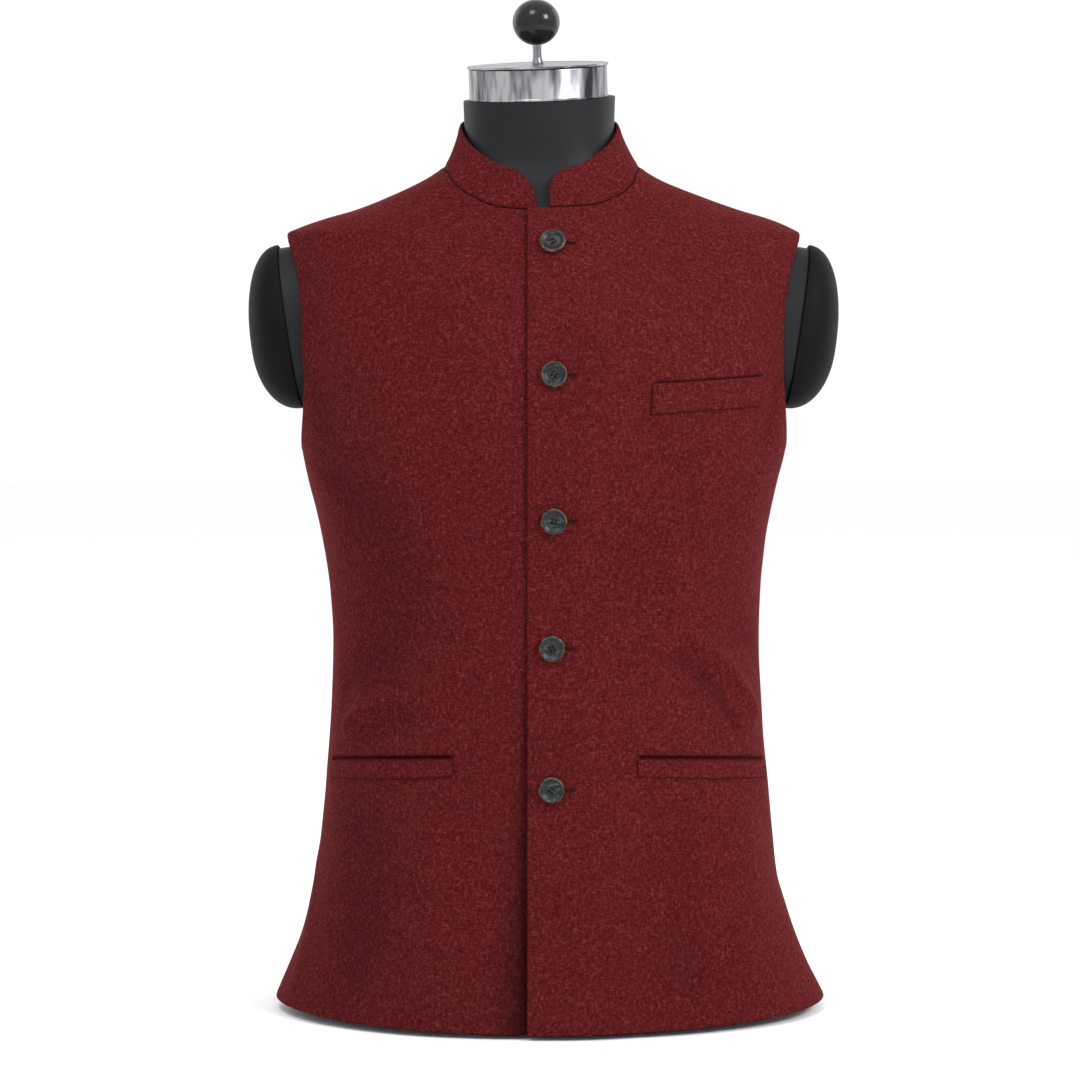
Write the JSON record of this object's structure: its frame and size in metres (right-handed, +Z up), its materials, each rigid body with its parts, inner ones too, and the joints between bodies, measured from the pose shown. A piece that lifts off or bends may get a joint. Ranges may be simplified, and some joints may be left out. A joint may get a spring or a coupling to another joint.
{
  "type": "nehru jacket on dress form",
  "caption": "Sleeveless band-collar wool jacket with welt pockets, buttoned on a limbless tabletop dress form.",
  "frame": {"origin": "middle of the dress form's flat underside, where the part stands", "axes": "+Z up the form, -Y out of the jacket's front, +X towards the wearer's left"},
  "size_m": [0.4786, 0.2642, 0.8212],
  "materials": {
    "wool": "heathered maroon wool flannel",
    "horn": "dark mottled horn",
    "black_shell": "satin black shell",
    "chrome": "polished chrome",
    "knob_black": "glossy black"
  },
  "bodies": {
    "root": {"front_left": "wool", "front_right": "wool", "back": "wool", "collar": "wool", "chest_welt": "wool", "hip_welt_left": "wool", "hip_welt_right": "wool", "button_1": "horn", "button_2": "horn", "button_3": "horn", "button_4": "horn", "button_5": "horn", "form_torso": "black_shell", "form_cap_left": "black_shell", "form_cap_right": "black_shell", "neck_band": "chrome", "neck_plate": "chrome", "knob_stem": "chrome", "knob_ball": "knob_black"}
  },
  "joints": []
}
